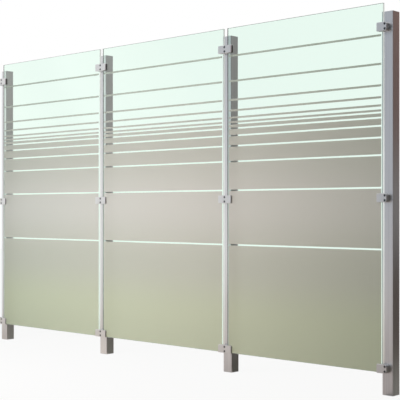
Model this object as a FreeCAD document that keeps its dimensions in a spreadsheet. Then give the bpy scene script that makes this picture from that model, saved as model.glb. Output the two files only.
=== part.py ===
import FreeCAD, Part
import math
import os
import re
import Sketcher
from FreeCAD import Placement, Rotation, Vector

# A run of glass panes clamped to the front of square tube posts.
# X runs along the posts, the glass faces -Y, and Z is up from the ground.

PANE_COUNT = 3
POST_COUNT = PANE_COUNT + 1

# Driving dimensions in millimetres
SIZES = {
    # Posts and their caps
    "post_pitch": 1040,
    "post_size": 60,
    "post_wall": 2,
    "post_corner": 2,
    "post_top_drop": 40,
    "cap_thickness": 4,
    "cap_edge": 0.8,
    "plug_depth": 16,
    "plug_wall": 2,
    "plug_clearance": 0.3,
    # Panes
    "pane_height": 1800,
    "pane_gap": 28,
    "pane_above_ground": 112,
    "glass_thickness": 12,
    "glass_arris": 1,
    # Sandblasted pattern, from the top of the pane down
    "etch_depth": 0.2,
    "etch_side_margin": 11,
    "etch_foot_margin": 2,
    "etched_line": 10.5,
    "clear_line": 9,
    "clear_band_1": 151,
    "clear_band_2": 129,
    "clear_band_3": 94,
    "clear_band_4": 47.5,
    "clear_band_5": 29.5,
    "clear_band_6": 14,
    "etched_band_1": 16,
    "etched_band_2": 31,
    "etched_band_3": 48,
    "etched_band_4": 77,
    "etched_band_5": 150,
    "etched_band_6": 292,
    # Clamps
    "top_clamp_drop": 116,
    "middle_clamp_rise": 851,
    "bottom_clamp_rise": 20,
    "clamp_reach": 47,
    "clamp_short_end": 10,
    "clamp_corner": 4,
    "clamp_end_corner": 12,
    "cover_edge": 1.2,
    "base_thickness": 4,
    "web_clearance": 2,
    "web_corner": 1,
    "pad_thickness": 1.5,
    "pad_margin": 1.5,
    "pad_corner": 2.5,
    # Screws and the rivet nuts that take them
    "screw_spacing": 24,
    "screw_edge": 9.5,
    "screw_size": 8,
    "screw_length": 35,
    "screw_chamfer": 0.8,
    "head_size": 13,
    "head_height": 5,
    "head_recess": 0.5,
    "head_clearance": 0.4,
    "seat_thickness": 2.5,
    "socket_across": 5,
    "socket_depth": 3.8,
    "hole_clearance": 0.5,
    "thread_clearance": 0.1,
    "nut_shank": 11,
    "nut_flange": 15,
    "nut_flange_thickness": 1.5,
    "nut_bulge": 14,
    "nut_bulge_length": 4,
    "nut_length": 14.5,
    "nut_clearance": 0.1,
}
CLEAR_BANDS = [name for name in SIZES if name.startswith("clear_band")]
ETCHED_BANDS = [name for name in SIZES if name.startswith("etched_band")]

# Sizes that follow from the ones above
INNER_CORNER = "max(post_corner - post_wall; post_wall / 4)"
COVER_BACK = "(base_thickness + 2 * pad_thickness + glass_thickness)"
COUNTERBORE = "(head_height + head_recess)"
COVER_THICKNESS = f"({COUNTERBORE} + seat_thickness)"
CLAMP_DEPTH = f"({COVER_BACK} + {COVER_THICKNESS})"
CLAMP_HALF_HEIGHT = "(screw_spacing / 2 + screw_edge)"
SCREW_HOLE = "(screw_size / 2 + hole_clearance)"
WEB_HALF_WIDTH = "(pane_gap / 2 - web_clearance)"
PANE_HALF_WIDTH = "((post_pitch - pane_gap) / 2)"
PAD_HALF_WIDTH = "((clamp_reach - pad_margin - pane_gap / 2) / 2)"
PAD_CENTRE = "((clamp_reach - pad_margin + pane_gap / 2) / 2)"
TUBE_HEIGHT = "(pane_above_ground + pane_height - post_top_drop - cap_thickness)"

# The whole run is centred in X and Y on the origin
POST_FACE_Y = f"(({CLAMP_DEPTH} - post_size) / 2)"
FIRST_POST_X = f"((clamp_reach - post_size / 2 - {PANE_COUNT} * post_pitch) / 2)"
CLAMP_HEIGHTS = {
    "top": "(pane_above_ground + pane_height - top_clamp_drop)",
    "middle": "(pane_above_ground + middle_clamp_rise)",
    "bottom": "(pane_above_ground + bottom_clamp_rise)",
}
FACING_FRONT = Rotation(Vector(1, 0, 0), 90)
SAME_LEVEL = 1e-6

doc = FreeCAD.newDocument("balustrade")
sheet = doc.addObject("Spreadsheet::Sheet", "Sizes")
parts = []


def fill_sheet():
    for row, (name, value) in enumerate(SIZES.items(), start=1):
        sheet.set(f"A{row}", name)
        sheet.set(f"B{row}", str(value))
        sheet.setAlias(f"B{row}", name)
    doc.recompute()


def in_sheet(formula):
    # Every size name holds an underscore and is looked up in the sheet
    return re.sub(r"[a-z]+(_[a-z0-9]+)+", r"Sizes.\g<0>", formula)


def bind(item, prop, formula):
    item.setExpression(prop, in_sheet(formula))


def now(formula):
    return float(sheet.evalExpression(in_sheet(formula)))


def new_sketch(body, name, role, lift="0"):
    sketch = body.newObject("Sketcher::SketchObject", name)
    planes = {item.Role: item for item in body.Origin.OriginFeatures}
    sketch.AttachmentSupport = [(planes[role], "")]
    sketch.MapMode = "FlatFace"
    bind(sketch, "AttachmentOffset.Base.z", lift)
    return sketch


def dimension(sketch, kind, places, formula):
    index = sketch.addConstraint(Sketcher.Constraint(kind, *places, now(formula)))
    bind(sketch, f"Constraints[{index}]", formula)


def frame_lines(sketch, sides, left, right, bottom, top):
    for side, direction in zip(sides, ("Horizontal", "Vertical") * 2):
        sketch.addConstraint(Sketcher.Constraint(direction, side))
    dimension(sketch, "DistanceX", (-1, 1, sides[3], 1), left)
    dimension(sketch, "DistanceX", (-1, 1, sides[1], 1), right)
    dimension(sketch, "DistanceY", (-1, 1, sides[0], 1), bottom)
    dimension(sketch, "DistanceY", (-1, 1, sides[2], 1), top)


def rectangle(sketch, left, right, bottom, top):
    x = (now(left), now(right))
    y = (now(bottom), now(top))
    corners = [Vector(x[0], y[0]), Vector(x[1], y[0]), Vector(x[1], y[1]), Vector(x[0], y[1])]
    sides = []
    for start, end in zip(corners, corners[1:] + corners[:1]):
        sides.append(sketch.addGeometry(Part.LineSegment(start, end), False))
    for side, following in zip(sides, sides[1:] + sides[:1]):
        sketch.addConstraint(Sketcher.Constraint("Coincident", side, 2, following, 1))
    frame_lines(sketch, sides, left, right, bottom, top)


def rounded_rectangle(sketch, left, right, bottom, top, radius, right_radius=None):
    # The two right-hand corners may have a radius of their own
    left_r = now(radius)
    right_r = now(right_radius or radius)
    x = (now(left) + left_r, now(right) - right_r)
    y = (now(bottom), now(top))
    corners = [
        (Vector(x[1], y[0] + right_r), right_r),
        (Vector(x[1], y[1] - right_r), right_r),
        (Vector(x[0], y[1] - left_r), left_r),
        (Vector(x[0], y[0] + left_r), left_r),
    ]
    sides = []
    arcs = []
    for turn, ((before, before_r), (centre, r)) in enumerate(zip(corners[-1:] + corners[:-1], corners)):
        start_angle = (turn - 1) * math.pi / 2
        outward = Vector(math.cos(start_angle), math.sin(start_angle))
        side = Part.LineSegment(before + outward * before_r, centre + outward * r)
        circle = Part.Circle(centre, Vector(0, 0, 1), r)
        arc = Part.ArcOfCircle(circle, start_angle, start_angle + math.pi / 2)
        sides.append(sketch.addGeometry(side, False))
        arcs.append(sketch.addGeometry(arc, False))
    for side, arc, following in zip(sides, arcs, sides[1:] + sides[:1]):
        sketch.addConstraint(Sketcher.Constraint("Tangent", side, 2, arc, 1))
        sketch.addConstraint(Sketcher.Constraint("Tangent", arc, 2, following, 1))
    for first, second in (arcs[:2], arcs[2:]):
        sketch.addConstraint(Sketcher.Constraint("Equal", first, second))
    dimension(sketch, "Radius", (arcs[0],), right_radius or radius)
    dimension(sketch, "Radius", (arcs[2],), radius)
    frame_lines(sketch, sides, left, right, bottom, top)


def circles_on_centre_line(sketch, heights, radius):
    for height in heights:
        circle = Part.Circle(Vector(0, now(height)), Vector(0, 0, 1), now(radius))
        ring = sketch.addGeometry(circle, False)
        sketch.addConstraint(Sketcher.Constraint("PointOnObject", ring, 3, -2))
        dimension(sketch, "DistanceY", (-1, 1, ring, 3), height)
        dimension(sketch, "Radius", (ring,), radius)


def extrude(body, kind, sketch, length, backwards=False):
    feature = body.newObject("PartDesign::" + kind, f"{sketch.Name}_{kind.lower()}")
    feature.Profile = sketch
    feature.Reversed = backwards
    bind(feature, "Length", length)
    doc.recompute()
    return feature


def dress(body, kind, feature, edges, prop, size):
    finish = body.newObject("PartDesign::" + kind, f"{feature.Name}_{kind.lower()}")
    finish.Base = (feature, edges)
    bind(finish, prop, size)
    doc.recompute()
    return finish


def outer_edges(feature, direction):
    # Edges that lie all the way out on the side that the direction points to
    reach = max(vertex.Point.dot(direction) for vertex in feature.Shape.Vertexes)
    names = []
    for number, edge in enumerate(feature.Shape.Edges, start=1):
        if all(reach - vertex.Point.dot(direction) < SAME_LEVEL for vertex in edge.Vertexes):
            names.append(f"Edge{number}")
    return names


def place(source, label, x, y, z, rotation=Rotation()):
    copy = doc.addObject("App::Link", label)
    copy.Label = label
    copy.LinkedObject = source
    copy.Placement = Placement(Vector(), rotation)
    for axis, formula in zip("xyz", (x, y, z)):
        bind(copy, f"Placement.Base.{axis}", formula)
    return copy


def group(label, members):
    bundle = doc.addObject("Part::Compound", label)
    bundle.Label = label
    bundle.Links = members
    return bundle


def solid_cylinder(label, radius, height, base="0"):
    cylinder = doc.addObject("Part::Cylinder", label)
    bind(cylinder, "Radius", radius)
    bind(cylinder, "Height", height)
    bind(cylinder, "Placement.Base.z", base)
    return cylinder


def post_x(index):
    return f"({FIRST_POST_X} + {index} * post_pitch)"


def screw_heights(centre):
    return [f"{centre} - screw_spacing / 2", f"{centre} + screw_spacing / 2"]


# Square tube post: front face on the XZ plane, foot on the ground
def make_post():
    body = doc.addObject("PartDesign::Body", "post")
    section = new_sketch(body, "post_section", "XY_Plane")
    half = "post_size / 2"
    rounded_rectangle(section, f"-{half}", half, "0", "post_size", "post_corner")
    inner_half = "(post_size / 2 - post_wall)"
    inner_back = "post_size - post_wall"
    rounded_rectangle(section, f"-{inner_half}", inner_half, "post_wall", inner_back, INNER_CORNER)
    extrude(body, "Pad", section, TUBE_HEIGHT)
    holes = new_sketch(body, "post_nut_holes", "XZ_Plane")
    for centre in CLAMP_HEIGHTS.values():
        circles_on_centre_line(holes, screw_heights(centre), "nut_shank / 2 + nut_clearance")
    extrude(body, "Pocket", holes, "2 * post_wall")
    return body


# Post cap: a flat plate, and a hollow plug below it that sits in the tube
def make_cap():
    body = doc.addObject("PartDesign::Body", "post_cap")
    outline = new_sketch(body, "cap_outline", "XY_Plane")
    half = "post_size / 2"
    rounded_rectangle(outline, f"-{half}", half, "0", "post_size", "post_corner")
    plate = extrude(body, "Pad", outline, "cap_thickness")
    dress(body, "Chamfer", plate, outer_edges(plate, Vector(0, 0, 1)), "Size", "cap_edge")
    plug = new_sketch(body, "cap_plug", "XY_Plane")
    for inset in ("(post_wall + plug_clearance)", "(post_wall + plug_clearance + plug_wall)"):
        half = f"(post_size / 2 - {inset})"
        rounded_rectangle(plug, f"-{half}", half, inset, f"post_size - {inset}", INNER_CORNER)
    extrude(body, "Pad", plug, "plug_depth", backwards=True)
    return body


# Glass pane: back face on the XZ plane, bottom edge at Z = 0
def make_pane():
    body = doc.addObject("PartDesign::Body", "pane")
    outline = new_sketch(body, "pane_outline", "XZ_Plane")
    rectangle(outline, f"-{PANE_HALF_WIDTH}", PANE_HALF_WIDTH, "0", "pane_height")
    sheet_of_glass = extrude(body, "Pad", outline, "glass_thickness")
    every_edge = [f"Edge{number + 1}" for number in range(len(sheet_of_glass.Shape.Edges))]
    dress(body, "Chamfer", sheet_of_glass, every_edge, "Size", "glass_arris")
    etching = new_sketch(body, "pane_etching", "XZ_Plane", "glass_thickness")
    for top, bottom in etched_spans():
        side = f"({PANE_HALF_WIDTH} - etch_side_margin)"
        rectangle(etching, f"-{side}", side, bottom, top)
    extrude(body, "Pocket", etching, "etch_depth")
    return body


# Thin etched lines in clear glass, then etched bands parted by thin clear lines
def etched_spans():
    level = "pane_height"
    spans = []
    for band in CLEAR_BANDS:
        top = f"{level} - {band}"
        level = f"{top} - etched_line"
        spans.append((top, level))
    for band in ETCHED_BANDS:
        top = f"{level} - clear_line"
        level = f"{top} - {band}"
        spans.append((top, level))
    spans.append((f"{level} - clear_line", "etch_foot_margin"))
    return spans


# Clamp base: a plate on the post face and a web in the gap between two panes
def make_base(label, right_end, end_corner, web_right, web_end_corner):
    body = doc.addObject("PartDesign::Body", label)
    outline = new_sketch(body, label + "_outline", "XZ_Plane")
    half = CLAMP_HALF_HEIGHT
    rounded_rectangle(outline, "-clamp_reach", right_end, f"-{half}", half, "clamp_corner", end_corner)
    extrude(body, "Pad", outline, "base_thickness")
    web = new_sketch(body, label + "_web", "XZ_Plane")
    rounded_rectangle(web, f"-{WEB_HALF_WIDTH}", web_right, f"-{half}", half, "web_corner", web_end_corner)
    extrude(body, "Pad", web, COVER_BACK)
    holes = new_sketch(body, label + "_holes", "XZ_Plane")
    circles_on_centre_line(holes, screw_heights("0"), SCREW_HOLE)
    extrude(body, "Pocket", holes, COVER_BACK, backwards=True)
    recess = new_sketch(body, label + "_nut_recess", "XZ_Plane")
    circles_on_centre_line(recess, screw_heights("0"), "nut_flange / 2 + hole_clearance")
    extrude(body, "Pocket", recess, "nut_flange_thickness + nut_clearance", backwards=True)
    return body


# Clamp cover: the front plate with softened edges and two counterbored holes
def make_cover(label, right_end, end_corner):
    body = doc.addObject("PartDesign::Body", label)
    outline = new_sketch(body, label + "_outline", "XZ_Plane", COVER_BACK)
    half = CLAMP_HALF_HEIGHT
    rounded_rectangle(outline, "-clamp_reach", right_end, f"-{half}", half, "clamp_corner", end_corner)
    plate = extrude(body, "Pad", outline, COVER_THICKNESS)
    dress(body, "Fillet", plate, outer_edges(plate, Vector(0, -1, 0)), "Radius", "cover_edge")
    holes = new_sketch(body, label + "_holes", "XZ_Plane", CLAMP_DEPTH)
    circles_on_centre_line(holes, screw_heights("0"), SCREW_HOLE)
    extrude(body, "Pocket", holes, COVER_THICKNESS)
    seats = new_sketch(body, label + "_seats", "XZ_Plane", CLAMP_DEPTH)
    circles_on_centre_line(seats, screw_heights("0"), "head_size / 2 + head_clearance")
    extrude(body, "Pocket", seats, COUNTERBORE)
    return body


# One rubber pad, centred on its own plate area
def make_pad():
    body = doc.addObject("PartDesign::Body", "pad")
    outline = new_sketch(body, "pad_outline", "XZ_Plane")
    half = f"({CLAMP_HALF_HEIGHT} - pad_margin)"
    width = PAD_HALF_WIDTH
    rounded_rectangle(outline, f"-{width}", width, f"-{half}", half, "pad_corner")
    extrude(body, "Pad", outline, "pad_thickness")
    return body


# The pads of one clamp, behind and in front of each pane that it holds
def make_pad_set(label, pad, sides):
    members = []
    for side, x in sides.items():
        back_y = "-base_thickness"
        front_y = f"-({COVER_BACK} - pad_thickness)"
        members.append(place(pad, f"{label}_back_{side}", x, back_y, "0"))
        members.append(place(pad, f"{label}_front_{side}", x, front_y, "0"))
    return group(label, members)


# Low-head socket screw along Z, with the underside of its head at Z = 0
def make_screw():
    body = doc.addObject("PartDesign::Body", "screw")
    for name, size, length, backwards in (
        ("screw_shank", "screw_size / 2", "screw_length", True),
        ("screw_head", "head_size / 2", "head_height", False),
    ):
        outline = new_sketch(body, name, "XY_Plane")
        circles_on_centre_line(outline, ["0"], size)
        solid = extrude(body, "Pad", outline, length, backwards)
        end = Vector(0, 0, -1 if backwards else 1)
        dress(body, "Chamfer", solid, outer_edges(solid, end), "Size", "screw_chamfer")
    socket = body.newObject("PartDesign::SubtractivePrism", "screw_socket")
    socket.Polygon = 6
    bind(socket, "Circumradius", "socket_across / 2 / cos(30)")
    bind(socket, "Height", "socket_depth")
    bind(socket, "AttachmentOffset.Base.z", "head_height - socket_depth")
    doc.recompute()
    return body


# Rivet nut along Z, with the front of the post wall at Z = 0
def make_nut():
    flange = solid_cylinder("nut_flange", "nut_flange / 2", "nut_flange_thickness")
    shank = solid_cylinder("nut_shank", "nut_shank / 2", "nut_length", "-nut_length")
    bulge_base = "-post_wall - nut_bulge_length"
    bulge = solid_cylinder("nut_bulge", "nut_bulge / 2", "nut_bulge_length", bulge_base)
    blank = doc.addObject("Part::MultiFuse", "nut_blank")
    blank.Shapes = [flange, shank, bulge]
    bore_radius = "screw_size / 2 + thread_clearance"
    bore_length = "nut_length + nut_flange_thickness"
    bore = solid_cylinder("nut_bore", bore_radius, bore_length, "-nut_length")
    nut = doc.addObject("Part::Cut", "nut")
    nut.Base = blank
    nut.Tool = bore
    doc.recompute()
    return nut


def place_parts():
    post = make_post()
    cap = make_cap()
    for index in range(POST_COUNT):
        parts.append(place(post, f"post_{index + 1}", post_x(index), POST_FACE_Y, "0"))
        parts.append(place(cap, f"post_cap_{index + 1}", post_x(index), POST_FACE_Y, TUBE_HEIGHT))
    pane = make_pane()
    pane_y = f"({POST_FACE_Y} - base_thickness - pad_thickness)"
    for index in range(PANE_COUNT):
        pane_x = f"{post_x(index)} + post_pitch / 2"
        parts.append(place(pane, f"pane_{index + 1}", pane_x, pane_y, "pane_above_ground"))
    place_clamps()


# Every post but the last has clamps for two panes; the last holds one pane in clamps with a round end
def place_clamps():
    pad = make_pad()
    left = {"left": f"-{PAD_CENTRE}"}
    both = {**left, "right": PAD_CENTRE}
    wide = ("clamp_reach", "clamp_corner")
    short = ("clamp_short_end", "clamp_end_corner")
    double = {
        "base": make_base("double_base", *wide, WEB_HALF_WIDTH, "web_corner"),
        "cover": make_cover("double_cover", *wide),
        "pads": make_pad_set("double_pads", pad, both),
    }
    single = {
        "base": make_base("single_base", *short, *short),
        "cover": make_cover("single_cover", *short),
        "pads": make_pad_set("single_pads", pad, left),
    }
    screw = make_screw()
    nut = make_nut()
    head_y = f"({POST_FACE_Y} - {CLAMP_DEPTH} + {COUNTERBORE})"
    screws = []
    nuts = []
    for index in range(POST_COUNT):
        kit = double if index < PANE_COUNT else single
        x = post_x(index)
        for level, height in CLAMP_HEIGHTS.items():
            where = f"{index + 1}_{level}"
            for piece, source in kit.items():
                parts.append(place(source, f"clamp_{piece}_{where}", x, POST_FACE_Y, height))
            for row, z in zip(("low", "high"), screw_heights(height)):
                screws.append(place(screw, f"screw_{where}_{row}", x, head_y, z, FACING_FRONT))
                nuts.append(place(nut, f"nut_{where}_{row}", x, POST_FACE_Y, z, FACING_FRONT))
    parts.append(group("clamp_screws", screws))
    parts.append(group("rivet_nuts", nuts))


def check_document():
    for item in doc.Objects:
        if "Invalid" in item.State or "Error" in item.State:
            raise RuntimeError(f"{item.Name} failed: {item.State}")
        if item.TypeId == "PartDesign::Pocket":
            if item.Shape.Volume >= item.BaseFeature.Shape.Volume:
                raise RuntimeError(f"{item.Name} cuts nothing")


def write_parts():
    os.makedirs("parts", exist_ok=True)
    shapes = {}
    for item in parts:
        shape = Part.getShape(item)
        if shape.isNull() or not shape.isValid():
            raise RuntimeError(f"{item.Label} has no valid shape")
        shapes[item.Label] = Part.makeCompound(shape.Solids)
    for label, shape in shapes.items():
        shape.exportStep(f"parts/{label}.step")
    print(f"{len(shapes)} parts written")


fill_sheet()
place_parts()
doc.recompute()
check_document()
write_parts()
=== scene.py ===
import math
import bmesh
import bpy
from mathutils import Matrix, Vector


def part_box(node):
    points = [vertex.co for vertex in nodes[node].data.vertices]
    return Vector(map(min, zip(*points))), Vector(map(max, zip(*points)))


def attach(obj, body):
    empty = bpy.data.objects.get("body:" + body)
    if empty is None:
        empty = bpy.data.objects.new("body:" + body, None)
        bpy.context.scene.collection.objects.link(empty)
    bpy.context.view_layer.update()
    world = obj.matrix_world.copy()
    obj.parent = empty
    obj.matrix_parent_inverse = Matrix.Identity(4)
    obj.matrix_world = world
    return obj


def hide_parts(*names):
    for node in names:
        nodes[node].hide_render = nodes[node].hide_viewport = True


# Clear panes with a sandblasted stripe pattern, clamped in front of brushed square posts
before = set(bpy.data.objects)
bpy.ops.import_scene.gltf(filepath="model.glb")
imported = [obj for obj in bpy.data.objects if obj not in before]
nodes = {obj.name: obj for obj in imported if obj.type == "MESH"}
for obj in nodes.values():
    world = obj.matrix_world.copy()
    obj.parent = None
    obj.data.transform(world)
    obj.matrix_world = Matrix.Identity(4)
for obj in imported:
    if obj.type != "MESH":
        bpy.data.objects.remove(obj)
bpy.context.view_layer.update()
mm = 0.001
clampLevels = ("top", "middle", "bottom")
postNumbers = range(1, 1 + sum(name.startswith("post_cap_") for name in nodes))
print("frame loaded:", len(nodes), "nodes,", len(postNumbers), "posts")


def linearColor(hexText):
    channels = [int(hexText[start:start + 2], 16) / 255 for start in (1, 3, 5)]
    linear = [c / 12.92 if c <= 0.04045 else ((c + 0.055) / 1.055) ** 2.4 for c in channels]
    return (*linear, 1.0)


def addNode(tree, kind, inputs=None, **settings):
    node = tree.nodes.new(kind)
    for name, value in settings.items():
        setattr(node, name, value)
    for socket, value in (inputs or {}).items():
        if isinstance(value, bpy.types.NodeSocket):
            tree.links.new(value, node.inputs[socket])
        else:
            node.inputs[socket].default_value = value
    return node


def newMaterial(name):
    material = bpy.data.materials.new(name)
    material.use_nodes = True
    material.node_tree.nodes.clear()
    return material, material.node_tree


def fillRamp(ramp, stops):
    # Colour stops as (place, colour), in rising order
    ramp.interpolation = "EASE"
    for index, (place, color) in enumerate(stops):
        stop = ramp.elements[0] if index == 0 else ramp.elements.new(place)
        stop.position = place
        stop.color = linearColor(color)
    ramp.elements.remove(ramp.elements[-1])


noiseDetail = 4.0
noiseSpan = (0.3, 0.7)  # noise seldom leaves this span, which is spread out to reach from 0 to 1


def grainNoise(tree, sizeMm):
    # Noise whose cells measure sizeMm along X, Y and Z
    place = addNode(tree, "ShaderNodeTexCoord")
    scale = [1 / (size * mm) for size in sizeMm]
    mapped = addNode(tree, "ShaderNodeMapping", {"Vector": place.outputs["Object"], "Scale": scale})
    noise = addNode(tree, "ShaderNodeTexNoise", {
        "Vector": mapped.outputs[0], "Scale": 1.0, "Detail": noiseDetail,
    })
    lowest, highest = noiseSpan
    return addNode(tree, "ShaderNodeMapRange", {
        "Value": noise.outputs[0], "From Min": lowest, "From Max": highest,
    }).outputs[0]


def grainedSurface(tree, finish):
    # Shader inputs for a surface whose colour, roughness and height follow one grain
    grain = grainNoise(tree, finish["grainMm"])
    color = addNode(tree, "ShaderNodeMix", {
        0: grain, 6: linearColor(finish["color"]), 7: linearColor(finish["grainColor"]),
    }, data_type="RGBA")
    smooth, rough = finish["roughness"]
    roughness = addNode(tree, "ShaderNodeMapRange", {"Value": grain, "To Min": smooth, "To Max": rough})
    bump = addNode(tree, "ShaderNodeBump", {
        "Strength": 1.0, "Distance": finish["grainDepthMm"] * mm, "Height": grain,
    })
    return {
        "Base Color": color.outputs[2], "Roughness": roughness.outputs[0], "Normal": bump.outputs[0],
    }


# Stainless tube brushed along its length: upright streaks break up every reflection
postSteel = {
    "color": "#dfdfe0",
    "grainColor": "#cfcfd1",
    "grainMm": (2.5, 2.5, 600.0),  # real brushing is near 0.1 mm wide and would not show
    "roughness": (0.28, 0.42),
    "grainDepthMm": 0.012,
}
# The caps are cut from brushed sheet: the same steel with its grain along the run
capSteel = dict(postSteel, grainMm=(300.0, 2.5, 2.5))
# Cast stainless clamps, bead blasted and lightly polished: a soft even sheen with fine grit
clampSteel = {
    "color": "#dfdfdf",
    "grainColor": "#d0d0d1",
    "grainMm": (1.5, 1.5, 1.5),  # real grit is near 0.2 mm, drawn coarser to show
    "roughness": (0.30, 0.44),
    "grainDepthMm": 0.02,
}
# Aluminium rivet nuts, turned: hidden in the posts, plain and dull
nutMetal = {
    "color": "#c2c3c4",
    "grainColor": "#b0b1b3",
    "grainMm": (0.8, 0.8, 0.8),
    "roughness": (0.35, 0.45),
    "grainDepthMm": 0.01,
}


def grainedMetal(name, finish):
    material, tree = newMaterial(name)
    surface = grainedSurface(tree, finish)
    shader = addNode(tree, "ShaderNodeBsdfPrincipled", {**surface, "Metallic": 1.0})
    addNode(tree, "ShaderNodeOutputMaterial", {"Surface": shader.outputs[0]})
    return material


# EPDM rubber pads, moulded sheet: matt black with a faint grain
padRubber = {
    "color": "#1c1d1e",
    "grainColor": "#2b2c2d",
    "grainMm": (1.2, 1.2, 1.2),
    "roughness": (0.62, 0.82),
    "grainDepthMm": 0.05,
    "ior": 1.52,
}


def mouldedRubber(name, finish):
    material, tree = newMaterial(name)
    surface = grainedSurface(tree, finish)
    shader = addNode(tree, "ShaderNodeBsdfPrincipled", {**surface, "IOR": finish["ior"]})
    addNode(tree, "ShaderNodeOutputMaterial", {"Surface": shader.outputs[0]})
    return material


# Stainless screws, turned and passivated: bright heads, with a dark socket that light hardly reaches
screwSteel = {
    "color": "#9b9da0",
    "socketColor": "#121213",
    "grainMm": (0.6, 0.6, 0.6),
    "roughness": (0.24, 0.36),
}


def turnedScrewSteel(name, finish):
    material, tree = newMaterial(name)
    grain = grainNoise(tree, finish["grainMm"])
    socket = addNode(tree, "ShaderNodeAttribute", attribute_name="socketShade")
    color = addNode(tree, "ShaderNodeMix", {
        0: socket.outputs["Fac"], 6: linearColor(finish["color"]), 7: linearColor(finish["socketColor"]),
    }, data_type="RGBA")
    smooth, rough = finish["roughness"]
    roughness = addNode(tree, "ShaderNodeMapRange", {"Value": grain, "To Min": smooth, "To Max": rough})
    shader = addNode(tree, "ShaderNodeBsdfPrincipled", {
        "Base Color": color.outputs[2], "Metallic": 1.0, "Roughness": roughness.outputs[0],
    })
    addNode(tree, "ShaderNodeOutputMaterial", {"Surface": shader.outputs[0]})
    return material


# Toughened float glass, polished and then sandblasted through a mask: faintly green where it is clear,
# a pale matt grey that only shades show through where it is blasted, pale along its ground edges
paneGlass = {
    "clearColor": "#eefff5",
    "ior": 1.52,
    "etchDepthMm": 0.2,
    "etchSlackMm": 0.06,
    # Share of the pane's height, colour: pale blasted grey with painted light, the tone changing with
    # height as the light and the surroundings seen through the glass would change it
    "etchColorsAndPaintedLight": (
        (0.10, "#bec2ab"), (0.27, "#b7b7ad"), (0.45, "#c3c0bc"), (0.64, "#b3b2ab"), (0.88, "#abb4ab"),
    ),
    "etchTransmission": 0.12,
    "etchBackTransmission": 0.70,  # from behind the blasted face glows with the light from the front
    "etchRoughness": 0.62,
    "gritMm": (2.0, 2.0, 2.0),  # real grit is near 0.1 mm, drawn coarser to show
    "gritDepthMm": 0.03,
    "edgeColor": "#e2e6e3",
    "edgeTransmission": (0.85, 0.60),  # beside the blasted bands, beside clear glass
    "edgeRoughness": 0.35,
    "bandsEnd": (0.60, 0.74),  # share of the pane's height where its edges turn from lit to dark
    # An edge seen through the glass: lit by the blasted bands, dark beside clear glass
    "edgeInnerColors": ("#98a09a", "#17201b"),
    "edgeTilt": 0.9,  # a face whose normal has a smaller share than this across the pane is an edge
}


def blastedFaces(tree, finish, etched, height, within):
    # Colour, roughness and clearness of the front and the back: clear glass, matt where it is etched
    # Painted light: the blasted glass's colour changes with height
    etchColor = addNode(tree, "ShaderNodeValToRGB", {"Fac": height})
    fillRamp(etchColor.color_ramp, finish["etchColorsAndPaintedLight"])
    color = addNode(tree, "ShaderNodeMix", {
        0: etched, 6: linearColor(finish["clearColor"]), 7: etchColor.outputs["Color"],
    }, data_type="RGBA")
    roughness = addNode(tree, "ShaderNodeMapRange", {"Value": etched, "To Max": finish["etchRoughness"]})
    etchClearness = addNode(tree, "ShaderNodeMapRange", {
        "Value": within, "To Min": finish["etchTransmission"], "To Max": finish["etchBackTransmission"],
    })
    clearness = addNode(tree, "ShaderNodeMix", {0: etched, 2: 1.0, 3: etchClearness.outputs[0]})
    return color.outputs[2], roughness.outputs[0], clearness.outputs[0]


def groundEdges(tree, finish, height, within):
    # Colour and clearness of the edges: pale and partly clear from outside, solid from within
    innerColor = addNode(tree, "ShaderNodeValToRGB", {"Fac": height})
    fillRamp(innerColor.color_ramp, zip(finish["bandsEnd"], finish["edgeInnerColors"]))
    color = addNode(tree, "ShaderNodeMix", {
        0: within, 6: linearColor(finish["edgeColor"]), 7: innerColor.outputs["Color"],
    }, data_type="RGBA")
    bandsEnd, clearStart = finish["bandsEnd"]
    besideBands, besideClear = finish["edgeTransmission"]
    outerClearness = addNode(tree, "ShaderNodeMapRange", {
        "Value": height, "From Min": bandsEnd, "From Max": clearStart,
        "To Min": besideBands, "To Max": besideClear,
    })
    clearness = addNode(tree, "ShaderNodeMix", {0: within, 2: outerClearness.outputs[0], 3: 0.0})
    return color.outputs[2], clearness.outputs[0]


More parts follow.
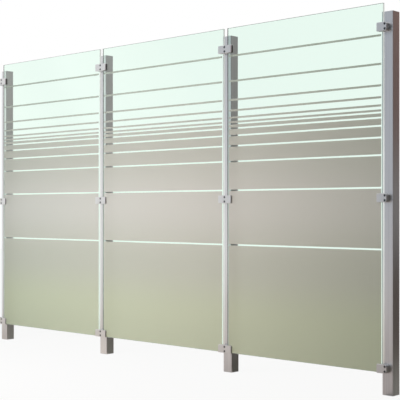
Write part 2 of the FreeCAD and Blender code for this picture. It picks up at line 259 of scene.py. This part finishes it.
def sandblastedGlass(name, finish):
    material, tree = newMaterial(name)
    low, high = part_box("pane_1")  # all panes share its depth and its height
    place = addNode(tree, "ShaderNodeTexCoord")
    axes = addNode(tree, "ShaderNodeSeparateXYZ", {0: place.outputs["Object"]})
    height = addNode(tree, "ShaderNodeMapRange", {
        "Value": axes.outputs["Z"], "From Min": low.z, "From Max": high.z,
    }).outputs[0]
    # The blasted floor lies one etch depth behind the front face
    etched = addNode(tree, "ShaderNodeMath", {
        0: axes.outputs["Y"], 1: low.y + finish["etchDepthMm"] * mm, 2: finish["etchSlackMm"] * mm,
    }, operation="COMPARE").outputs[0]
    side = addNode(tree, "ShaderNodeNewGeometry")
    within = side.outputs["Backfacing"]
    turned = addNode(tree, "ShaderNodeSeparateXYZ", {0: side.outputs["True Normal"]})
    flatness = addNode(tree, "ShaderNodeMath", {0: turned.outputs["Y"]}, operation="ABSOLUTE")
    edge = addNode(tree, "ShaderNodeMath", {
        0: flatness.outputs[0], 1: finish["edgeTilt"],
    }, operation="LESS_THAN").outputs[0]
    faceColor, faceRoughness, faceClearness = blastedFaces(tree, finish, etched, height, within)
    edgeColor, edgeClearness = groundEdges(tree, finish, height, within)
    color = addNode(tree, "ShaderNodeMix", {0: edge, 6: faceColor, 7: edgeColor}, data_type="RGBA")
    roughness = addNode(tree, "ShaderNodeMix", {0: edge, 2: faceRoughness, 3: finish["edgeRoughness"]})
    clearness = addNode(tree, "ShaderNodeMix", {0: edge, 2: faceClearness, 3: edgeClearness})
    grit = grainNoise(tree, finish["gritMm"])
    bump = addNode(tree, "ShaderNodeBump", {
        "Strength": etched, "Distance": finish["gritDepthMm"] * mm, "Height": grit,
    })
    shader = addNode(tree, "ShaderNodeBsdfPrincipled", {
        "Base Color": color.outputs[2], "IOR": finish["ior"], "Roughness": roughness.outputs[0],
        "Transmission Weight": clearness.outputs[0], "Normal": bump.outputs[0],
    })
    # Lamps shine through the glass instead of leaving a black shadow,
    # and steel mirrors the studio through it
    passing = addNode(tree, "ShaderNodeBsdfTransparent")
    path = addNode(tree, "ShaderNodeLightPath")
    mirrored = addNode(tree, "ShaderNodeMixShader", {
        0: path.outputs["Is Reflection Ray"], 1: shader.outputs[0], 2: passing.outputs[0],
    })
    mixed = addNode(tree, "ShaderNodeMixShader", {
        0: path.outputs["Is Shadow Ray"], 1: mirrored.outputs[0], 2: passing.outputs[0],
    })
    addNode(tree, "ShaderNodeOutputMaterial", {"Surface": mixed.outputs[0]})
    return material


blastedSteel = grainedMetal("stainless steel, cast and bead blasted", clampSteel)
# Finishes by the start of a node's name, the longer start first
finishes = {
    "post_cap": grainedMetal("stainless steel, brushed sheet", capSteel),
    "post": grainedMetal("stainless steel, brushed tube", postSteel),
    "pane": sandblastedGlass("float glass, sandblasted bands", paneGlass),
    "clamp_pads": mouldedRubber("EPDM rubber, moulded", padRubber),
    "clamp_base": blastedSteel,
    "clamp_cover": blastedSteel,
    "rivet_nuts": grainedMetal("aluminium, turned", nutMetal),
}
screwFinish = turnedScrewSteel("stainless steel, turned screws", screwSteel)
for name, node in nodes.items():
    kind = next((start for start in finishes if name.startswith(start)), None)
    if kind:
        node.data.materials.clear()
        node.data.materials.append(finishes[kind])
print("materials made:", len(bpy.data.materials))


# Low-head socket screws, two in every clamp
screw = {
    "perClamp": 2,
    "headDiameterMm": 13.0,
    "headHeightMm": 5.0,
    "headEdgeMm": 0.8,
    "socketAcrossMm": 5.0,
    "socketDepthMm": 3.8,
    "shankDiameterMm": 8.0,
    "shankLengthMm": 35.0,
    "threadPitchMm": 1.25,
    "threadDepthMm": 0.6,
    "tipEdgeMm": 0.8,
    "recessMm": 0.5,
    "spacingMm": 24.0,
    "rimShade": 0.75,  # painted shade: the head's face darkens towards the socket
    "sides": 48,
    "turnSeed": 7,
}
sixthTurn = math.pi / 3  # a hexagon looks the same after it


def hexagonRadius(across, angle):
    return across / 2 / math.cos((angle + sixthTurn / 2) % sixthTurn - sixthTurn / 2)


def screwRings():
    # Rings from the tip to the bottom of the socket: place along the screw, radius, hexagonal or round
    shank = screw["shankDiameterMm"] / 2
    head = screw["headDiameterMm"] / 2
    top = screw["headHeightMm"]
    root = shank - screw["threadDepthMm"]
    rings = [(-screw["shankLengthMm"], root - screw["tipEdgeMm"] / 2, False)]
    level = -screw["shankLengthMm"] + screw["tipEdgeMm"]
    while level < -screw["threadPitchMm"]:
        rings.append((level, root, False))
        rings.append((level + screw["threadPitchMm"] / 2, shank, False))
        level += screw["threadPitchMm"]
    rings.append((0.0, root, False))
    rings.append((0.0, head, False))
    rings.append((top - screw["headEdgeMm"], head, False))
    rings.append((top, head - screw["headEdgeMm"], False))
    rings.append((top, screw["socketAcrossMm"], True))
    rings.append((top - screw["socketDepthMm"], screw["socketAcrossMm"], True))
    return rings


def makeScrewMesh():
    # The screw lies along Y with its head towards -Y and the underside of the head at Y = 0
    body = bmesh.new()
    shade = body.verts.layers.float.new("socketShade")
    sides = screw["sides"]
    loops = []
    for level, size, isHexagon in screwRings():
        loop = []
        for step in range(sides):
            angle = 2 * math.pi * step / sides
            radius = hexagonRadius(size, angle) if isHexagon else size
            corner = Vector((radius * math.cos(angle), -level, radius * math.sin(angle)))
            loop.append(body.verts.new(corner * mm))
        loops.append(loop)
    # Painted shade: darkest on the socket's floor, fading out over the head's face
    for vertex in loops[-1]:
        vertex[shade] = 1.0
    for vertex in loops[-2]:
        vertex[shade] = screw["rimShade"]
    for lower, upper in zip(loops, loops[1:]):
        for step in range(sides):
            following = (step + 1) % sides
            body.faces.new((lower[step], lower[following], upper[following], upper[step]))
    body.faces.new(loops[0])
    body.faces.new(loops[-1])
    bmesh.ops.recalc_face_normals(body, faces=body.faces)
    mesh = bpy.data.meshes.new("screwPattern")
    body.to_mesh(mesh)
    body.free()
    return mesh


def screwTree():
    # One line of screws at every clamp point, each turned by chance about its own axis
    tree = bpy.data.node_groups.new("screwRows", "GeometryNodeTree")
    sockets = {}
    for name, kind in (("Clamp points", "Geometry"), ("Screw", "Object"), ("Spacing", "Float"),
                       ("Screws per clamp", "Int"), ("Turn seed", "Int"), ("Finish", "Material")):
        item = tree.interface.new_socket(name, in_out="INPUT", socket_type="NodeSocket" + kind)
        sockets[name] = item.identifier
    tree.interface.new_socket("Screws", in_out="OUTPUT", socket_type="NodeSocketGeometry")
    given = addNode(tree, "NodeGroupInput").outputs
    # The middle of each line lies on its clamp point
    rise = addNode(tree, "ShaderNodeCombineXYZ", {"Z": given["Spacing"]})
    gaps = addNode(tree, "ShaderNodeMath", {0: given["Screws per clamp"], 1: 1.0}, operation="SUBTRACT")
    half = addNode(tree, "ShaderNodeMath", {0: gaps.outputs[0], 1: -0.5}, operation="MULTIPLY")
    start = addNode(tree, "ShaderNodeVectorMath", {
        0: rise.outputs[0], "Scale": half.outputs[0],
    }, operation="SCALE")
    row = addNode(tree, "GeometryNodeMeshLine", {
        "Count": given["Screws per clamp"], "Start Location": start.outputs[0], "Offset": rise.outputs[0],
    })
    rows = addNode(tree, "GeometryNodeInstanceOnPoints", {
        "Points": given["Clamp points"], "Instance": row.outputs[0],
    })
    seats = addNode(tree, "GeometryNodeRealizeInstances", {0: rows.outputs[0]})
    turn = addNode(tree, "FunctionNodeRandomValue", {
        2: 0.0, 3: sixthTurn, "Seed": given["Turn seed"],
    }, data_type="FLOAT")
    rotation = addNode(tree, "ShaderNodeCombineXYZ", {"Y": turn.outputs[1]})
    pattern = addNode(tree, "GeometryNodeObjectInfo", {"Object": given["Screw"]})
    placed = addNode(tree, "GeometryNodeInstanceOnPoints", {
        "Points": seats.outputs[0], "Instance": pattern.outputs["Geometry"],
        "Rotation": rotation.outputs[0],
    })
    real = addNode(tree, "GeometryNodeRealizeInstances", {0: placed.outputs[0]})
    done = addNode(tree, "GeometryNodeSetMaterial", {
        "Geometry": real.outputs[0], "Material": given["Finish"],
    })
    addNode(tree, "NodeGroupOutput", {0: done.outputs[0]})
    return tree, sockets


def addObject(name, data):
    piece = bpy.data.objects.new(name, data)
    bpy.context.scene.collection.objects.link(piece)
    return piece


def makeScrews():
    points = bpy.data.meshes.new("clampPoints")
    seats = []
    for number in postNumbers:
        postLow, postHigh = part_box(f"post_{number}")
        for level in clampLevels:
            low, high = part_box(f"clamp_cover_{number}_{level}")
            seatY = low.y + (screw["recessMm"] + screw["headHeightMm"]) * mm
            seats.append(((postLow.x + postHigh.x) / 2, seatY, (low.z + high.z) / 2))
    points.from_pydata(seats, [], [])
    piece = addObject("clampScrews", points)
    pattern = addObject("screwPattern", makeScrewMesh())
    tree, sockets = screwTree()
    modifier = piece.modifiers.new("screwRows", "NODES")
    modifier.node_group = tree
    for name, value in (("Screw", pattern), ("Spacing", screw["spacingMm"] * mm),
                        ("Screws per clamp", screw["perClamp"]), ("Turn seed", screw["turnSeed"]),
                        ("Finish", screwFinish)):
        modifier[sockets[name]] = value
    evaluated = piece.evaluated_get(bpy.context.evaluated_depsgraph_get())
    mesh = bpy.data.meshes.new_from_object(evaluated)
    piece.modifiers.remove(modifier)
    piece.data = mesh
    bpy.data.objects.remove(pattern)
    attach(piece, "root")
    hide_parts("clamp_screws")
    print("screws made:", len(seats) * screw["perClamp"], "with", len(mesh.polygons), "faces")


makeScrews()


# Pale floor and soft studio light
studio = {
    "floorSize": 30.0,
    "floorColor": "#f2f2f2",
    "floorWhite": 0.92,  # share of the floor's white that the object's shadow does not dim
    "worldColor": "#e8f2cc",
    "worldStrength": 0.19,
}
# Broad lamps before the left and the middle pane, so that the light falls off to the right and to both
# ends, and a weak one that lifts the narrow bands at the top right
lamps = {
    "leftKey": {"color": "#f5ffff", "power": 24.0, "place": (-1.1, -1.9, 1.15)},
    "middleKey": {"color": "#fff0ee", "power": 22.0, "place": (0.12, -1.9, 1.15)},
    "topFill": {"color": "#ecfff8", "power": 5.0, "place": (1.5, -1.6, 2.4)},
}
lampSize = (1.4, 1.0)
cardLift = 0.002  # cards on the ground lie just clear of the floor


def standingCorners(left, right, height):
    # Corners of a sheet that stands on the ground between two places
    return [(*left, 0.0), (*right, 0.0), (*right, height), (*left, height)]


def levelCorners(first, last, lift):
    # Corners of a level sheet from one corner to the opposite one
    (left, front), (right, back) = first, last
    return [(left, front, lift), (right, front, lift), (right, back, lift), (left, back, lift)]


# Cards that only reflections show, so that steel has light and dark sides:
# corners, colours that run into each other over a span measured along a direction, and strength
cards = {
    "nearSideCard": {
        "corners": standingCorners((1.85, 1.0), (3.4, 0.9), 3.0),
        "along": (0, 0, 1), "span": (0.0, 3.0), "strength": 1.0,
        "colors": ((0.15, "#554d48"), (0.29, "#858482"), (0.52, "#735f59"), (0.75, "#866f67")),
    },
    "sideCard": {
        "corners": standingCorners((1.9, 6.7), (5.7, 2.9), 4.2),
        "along": (0, 0, 1), "span": (0.0, 4.2), "strength": 1.0,
        "colors": ((0.1, "#5a534e"), (0.28, "#5f5853"), (0.44, "#a89791"), (0.64, "#968c8f")),
    },
    "endCard": {
        "corners": standingCorners((5.7, 2.9), (7.2, -2.6), 5.5),
        "along": (0, 0, 1), "span": (0.0, 5.5), "strength": 1.0,
        "colors": ((0.1, "#6c6761"), (0.7, "#6a6e72")),
    },
    "backGroundCard": {
        "corners": levelCorners((-1.9, 0.0), (6.0, 5.2), cardLift),
        "along": (1, 0, 0), "span": (-1.9, 6.0), "strength": 1.0,
        "colors": (
            (0.08, "#84827a"), (0.21, "#75736a"), (0.34, "#4f4d46"), (0.47, "#86847d"), (0.58, "#514a45"),
        ),
    },
    "frontCard": {
        "corners": standingCorners((-11.0, -5.0), (1.5, -5.0), 4.5),
        "along": (1, 0, 0.75), "span": (-9.5, 0.5), "strength": 1.45,
        "colors": (
            (0.0, "#e6e6e4"), (0.42, "#d2d2d0"), (0.50, "#ffffff"), (0.57, "#f4f4f2"), (0.65, "#d8d8d7"),
            (0.71, "#b4bac3"), (0.79, "#95989e"), (0.95, "#969da5"),
        ),
    },
    "frontGroundCard": {
        "corners": levelCorners((-3.2, -4.9), (1.55, 0.0), cardLift),
        "along": (1, 0, 0), "span": (-3.2, 1.55), "strength": 1.0,
        "colors": ((0.12, "#f3e9e0"), (0.28, "#c4b8ae"), (0.52, "#f3e6db"), (0.86, "#b5aaa4")),
    },
    "cameraCard": {
        "corners": standingCorners((2.6, -7.2), (7.2, -2.6), 5.5),
        "along": (0, 0, 1), "span": (0.0, 5.5), "strength": 1.0,
        "colors": ((0.1, "#57534d"), (0.35, "#4a4d50"), (0.6, "#39424a")),
    },
    "cameraGroundCard": {
        "corners": levelCorners((1.55, -7.0), (7.0, 0.0), cardLift),
        "along": (1, 0, 0), "span": (1.55, 7.0), "strength": 1.0,
        "colors": ((0.1, "#6e6860"), (0.9, "#5c5852")),
    },
}


def seenShare(tree):
    # 1 for rays that show the background itself: straight, in metal and through glass
    path = addNode(tree, "ShaderNodeLightPath").outputs
    seenOrMirrored = addNode(tree, "ShaderNodeMath", {
        0: path["Is Camera Ray"], 1: path["Is Glossy Ray"],
    }, operation="MAXIMUM")
    return addNode(tree, "ShaderNodeMath", {
        0: seenOrMirrored.outputs[0], 1: path["Is Transmission Ray"],
    }, operation="MAXIMUM").outputs[0]


def makeStageSheet(name, corners, material):
    mesh = bpy.data.meshes.new(name)
    mesh.from_pydata(corners, [], [range(len(corners))])
    mesh.materials.append(material)
    sheet = addObject(name, mesh)
    return sheet


def makeFloor():
    half = studio["floorSize"] / 2
    material, tree = newMaterial("matt white studio floor")
    matt = addNode(tree, "ShaderNodeBsdfDiffuse", {"Color": linearColor(studio["floorColor"])})
    white = addNode(tree, "ShaderNodeEmission", {"Strength": 1.0})
    share = addNode(tree, "ShaderNodeMath", {
        0: seenShare(tree), 1: studio["floorWhite"],
    }, operation="MULTIPLY")
    mixed = addNode(tree, "ShaderNodeMixShader", {
        0: share.outputs[0], 1: matt.outputs[0], 2: white.outputs[0],
    })
    addNode(tree, "ShaderNodeOutputMaterial", {"Surface": mixed.outputs[0]})
    makeStageSheet("floor", levelCorners((-half, -half), (half, half), 0.0), material)


def cardMaterial(name, card):
    material, tree = newMaterial(name)
    place = addNode(tree, "ShaderNodeTexCoord")
    reach = addNode(tree, "ShaderNodeVectorMath", {
        0: place.outputs["Object"], 1: card["along"],
    }, operation="DOT_PRODUCT")
    first, last = card["span"]
    share = addNode(tree, "ShaderNodeMapRange", {
        "Value": reach.outputs["Value"], "From Min": first, "From Max": last,
    })
    color = addNode(tree, "ShaderNodeValToRGB", {"Fac": share.outputs[0]})
    fillRamp(color.color_ramp, card["colors"])
    glow = addNode(tree, "ShaderNodeEmission", {
        "Color": color.outputs["Color"], "Strength": card["strength"],
    })
    addNode(tree, "ShaderNodeOutputMaterial", {"Surface": glow.outputs[0]})
    return material


def makeCards():
    for name, card in cards.items():
        sheet = makeStageSheet(name, card["corners"], cardMaterial(f"painted card, {name}", card))
        sheet.visible_camera = False
        sheet.visible_diffuse = False
        sheet.visible_transmission = False
        sheet.visible_shadow = False


def makeLamps():
    for name, setting in lamps.items():
        lamp = bpy.data.lights.new(name, "AREA")
        lamp.shape = "RECTANGLE"
        lamp.size, lamp.size_y = lampSize
        lamp.color = linearColor(setting["color"])[:3]
        lamp.energy = setting["power"]
        holder = addObject(name, lamp)
        holder.location = setting["place"]
        holder.rotation_euler = (math.radians(90), 0, 0)  # facing the glass
        # No lamp shape shows in the picture, in glass or in steel
        holder.visible_camera = False
        holder.visible_glossy = False
        holder.visible_transmission = False


def makeWorld():
    world = bpy.data.worlds.new("studio")
    world.use_nodes = True
    tree = world.node_tree
    tree.nodes.clear()
    soft = addNode(tree, "ShaderNodeBackground", {
        "Color": linearColor(studio["worldColor"]), "Strength": studio["worldStrength"],
    })
    white = addNode(tree, "ShaderNodeBackground", {"Color": (1, 1, 1, 1), "Strength": 1.0})
    mixed = addNode(tree, "ShaderNodeMixShader", {
        0: seenShare(tree), 1: soft.outputs[0], 2: white.outputs[0],
    })
    addNode(tree, "ShaderNodeOutputWorld", {"Surface": mixed.outputs[0]})
    bpy.context.scene.world = world


# The photograph's viewpoint: right of the run, level, at waist height
view = {
    "place": (4.2484, -4.2015, 0.9053),  # from the middle of the run, the posts' front and the ground
    "turnDeg": 43.087,
    "lens": 90.632,
    "sensor": 36.0,
    "shiftY": 0.02428,
}


def makeCamera():
    data = bpy.data.cameras.new("camera")
    data.lens = view["lens"]
    data.sensor_width = view["sensor"]
    data.sensor_fit = "HORIZONTAL"
    data.shift_y = view["shiftY"]
    camera = addObject("camera", data)
    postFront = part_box("post_1")[0].y
    camera.location = Vector(view["place"]) + Vector((0, postFront, 0))
    camera.rotation_euler = (math.radians(90), 0, math.radians(view["turnDeg"]))
    bpy.context.scene.camera = camera


makeFloor()
makeCards()
makeLamps()
makeWorld()
makeCamera()
bpy.context.scene.view_settings.view_transform = "Standard"
print("studio lit")
